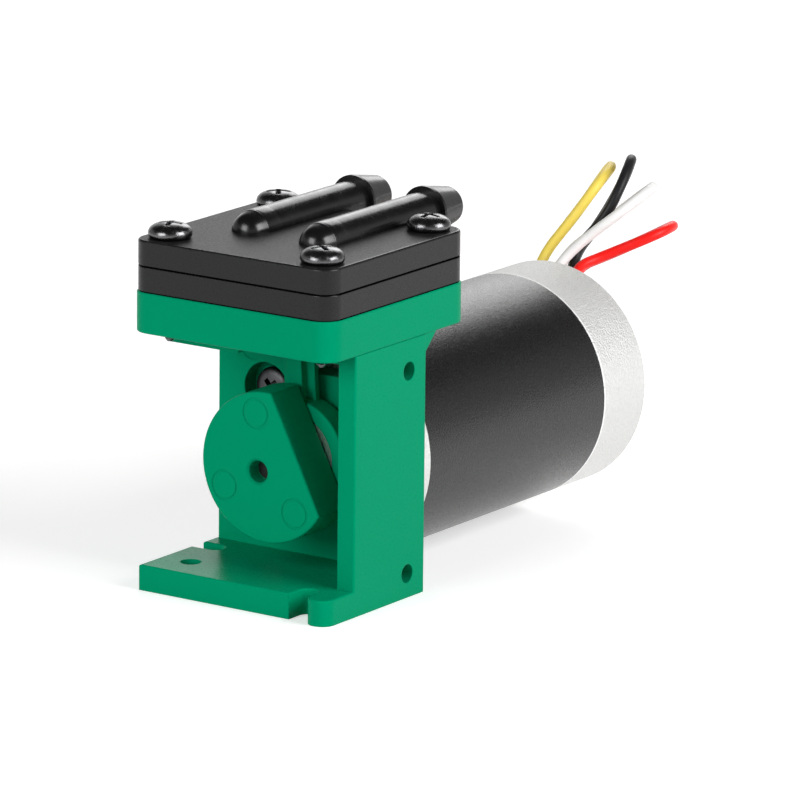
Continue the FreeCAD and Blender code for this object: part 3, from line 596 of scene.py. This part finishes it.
def set_screws(node, seats, screw, lean, first_turn, turn_step, coat):
    """Replaces a node's plain screws by detailed ones on these seats, in mm."""
    points = bpy.data.meshes.new(node + "_seats")
    points.from_pydata([[v * mm for v in seat] for seat in seats], [], [])
    carrier = bpy.data.objects.new(node + "_seats", points)
    scene.collection.objects.link(carrier)
    maker = carrier.modifiers.new("screws", "NODES")
    maker.node_group = seats_group
    wanted = {"Screw": screw, "Lean": lean, "First turn": first_turn, "Turn step": turn_step,
              "Size": 1.0, "Coat": coat}
    for item in seats_group.interface.items_tree:
        if item.in_out == "INPUT" and item.name in wanted:
            maker[item.identifier] = wanted[item.name]
    bpy.context.view_layer.update()
    mesh = plain_mesh(carrier, node + "_detailed")
    bpy.data.objects.remove(carrier)
    piece = bpy.data.objects.new(node + "_detailed", mesh)
    scene.collection.objects.link(piece)
    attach(piece, "housing")
    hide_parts(node)
    print(node, "seats:", len(seats), "faces:", len(mesh.polygons))


seats_group = seat_tree()
screw_coat = finish("polished_black_nickel", (0.09, 0.09, 0.093), (0.17, 0.17, 0.175),
                    rough=0.25, grain=1400, depth=0.00005, patch=700, metal=1.0, edge=0.22 * mm)
dull_coat = finish("dull_nickel", (0.055, 0.055, 0.058), (0.08, 0.08, 0.084), rough=0.42,
                   grain=1500, depth=0.00001, patch=600, metal=1.0, edge=0.12 * mm)
cover_seat = plate_high / mm + cover_thickness
cover_screw_out = 14
wall_seat_x, wall_seat_y = -7.45, 5.0
shaft_height = 19.6
wall_screw_out = 9.4
set_screws("head_screws", [(cover_screw_out * sx, cover_screw_out * sy, cover_seat)
                           for sx, sy in square],
           cover_screw, 0.0, math.radians(20), math.radians(35), screw_coat)
set_screws("motor_screws", [(wall_seat_x, wall_seat_y, shaft_height + side * wall_screw_out)
                            for side in (1, -1)],
           wall_screw, math.pi / 2, math.radians(40), math.radians(30), dull_coat)
for made in (cover_screw, wall_screw):
    bpy.data.objects.remove(made)

# %% [markdown]
# ## The spouts' closed ends
# At their front the spouts end in a rounded nose that runs into the tube without a step, as
# moulded plastic does. The nose is spun like the screws, laid along the spout, and cut off just
# below the cover's top, where it would be hidden.

# %% Spout noses
nose_outline = [(0, -3.24), (0.7, -3.2), (1.3, -3.02), (1.9, -2.66), (2.35, -2.2), (2.65, -1.7),
                (2.85, -1.15), (3.0, -0.6), (3.12, -0.2), (3.22, 0.15), (3.24, 0.7), (3.24, 2.8),
                (3.21, 3.2), (0, 3.2)]
spout_height = cover_seat - 0.1
nose_foot = spout_height - 0.3
spout_fronts = (("left", -7.15, -2.3), ("right", 6.15, -3.5))
for label, x, front_y in spout_fronts:
    nose = spun(label + "_spout_nose", nose_outline)
    nose.data.transform(Matrix.Translation(Vector((x, front_y, spout_height)) * mm)
                        @ Matrix.Rotation(-math.pi / 2, 4, "X"))
    form = bmesh.new()
    form.from_mesh(nose.data)
    bmesh.ops.bisect_plane(form, geom=form.verts[:] + form.edges[:] + form.faces[:],
                           plane_co=(0, 0, nose_foot * mm), plane_no=(0, 0, 1), clear_inner=True)
    bmesh.ops.holes_fill(form, edges=[e for e in form.edges if e.is_boundary])
    bmesh.ops.recalc_face_normals(form, faces=form.faces[:])
    smooth_to_crisp(form)
    form.to_mesh(nose.data)
    form.free()
    nose.data.materials.append(gloss)
    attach(nose, "housing")
    print(nose.name, "faces:", len(nose.data.polygons))

# %% [markdown]
# ## Floor and light
# A plain pale floor carries the pump and keeps its soft shadow. It is white to the camera without
# extra lamps: a little glow is added for what the camera sees straight or in a reflection.

# %% Floor
floor_half = 1.5
floor_glow = 0.5
floor_mesh = bpy.data.meshes.new("floor")
floor_mesh.from_pydata([(floor_half * sx, floor_half * sy, 0) for sx, sy in square], [],
                       [(0, 1, 2, 3)])
floor = bpy.data.objects.new("floor", floor_mesh)
scene.collection.objects.link(floor)
paper = bpy.data.materials.new("white_paper")
paper.use_nodes = True
sheet = paper.node_tree
sheet_surface = sheet.nodes["Principled BSDF"]
sheet_surface.inputs["Base Color"].default_value = (0.80, 0.80, 0.80, 1)
sheet_surface.inputs["Roughness"].default_value = 0.9
sheet_surface.inputs["Emission Color"].default_value = (1, 1, 1, 1)
floor_ray = sheet.nodes.new("ShaderNodeLightPath").outputs
seen = math_node(sheet, "MAXIMUM", floor_ray["Is Camera Ray"], floor_ray["Is Glossy Ray"])
seen_too = math_node(sheet, "MAXIMUM", seen, floor_ray["Is Transmission Ray"])
sheet.links.new(math_node(sheet, "MULTIPLY", seen_too, floor_glow),
                sheet_surface.inputs["Emission Strength"])
floor_mesh.materials.append(paper)

# %% [markdown]
# Three soft lamps light the pump: a strong one at the right for the bright side, one in front for
# the open crank space, and a weak one behind for the gleam along the can. The world adds the fill
# and what the can reflects: half bright near the floor, almost dark above, and a pale screen
# straight opposite the camera. The camera itself sees plain white.

# %% Lamps and world
def softbox(name, place, aim, size, power):
    """A square lamp of this size in metres, turned to look at a point."""
    data = bpy.data.lights.new(name, "AREA")
    data.shape = "SQUARE"
    data.size = size
    data.energy = power
    lamp = bpy.data.objects.new(name, data)
    lamp.location = place
    lamp.rotation_euler = (Vector(aim) - Vector(place)).to_track_quat("-Z", "Y").to_euler()
    scene.collection.objects.link(lamp)


middle = (0.0, 0.02, 0.03)
softbox("right_box", (0.9, 0.1, 0.5), middle, 0.6, 9.6)
softbox("front_box", (-0.2, -1.0, 0.45), middle, 0.6, 7.3)
softbox("back_box", (-0.4, 0.85, 0.5), middle, 0.5, 2.2)

sky_low, sky_high = 0.5, 0.05
sky_turns = (0.25, 0.50)  # between these heights on the unit sphere
screen_towards = (-0.56, 0.82, 0.10)
screen_turns = (0.75, 0.92)  # between these cosines of the angle to its middle
screen_level = 0.5
world = bpy.data.worlds.new("studio")
scene.world = world
world.use_nodes = True
air = world.node_tree
backdrop = air.nodes["Background"]
backdrop.inputs["Color"].default_value = (1, 1, 1, 1)
heading = air.nodes.new("ShaderNodeTexCoord").outputs["Generated"]
heading_parts = air.nodes.new("ShaderNodeSeparateXYZ")
air.links.new(heading, heading_parts.inputs["Vector"])
sky = ranged(air, heading_parts.outputs["Z"], *sky_turns, sky_low, sky_high, "SMOOTHSTEP")
facing = air.nodes.new("ShaderNodeVectorMath")
facing.operation = "DOT_PRODUCT"
feed(air, facing.inputs, (heading, screen_towards))
screen = ranged(air, facing.outputs["Value"], *screen_turns, 0.0, screen_level, "SMOOTHSTEP")
air_ray = air.nodes.new("ShaderNodeLightPath").outputs
straight = math_node(air, "MAXIMUM", air_ray["Is Camera Ray"], air_ray["Is Transmission Ray"])
brightness = ranged(air, straight, 0.0, 1.0, math_node(air, "ADD", sky, screen), 1.0)
air.links.new(brightness, backdrop.inputs["Strength"])
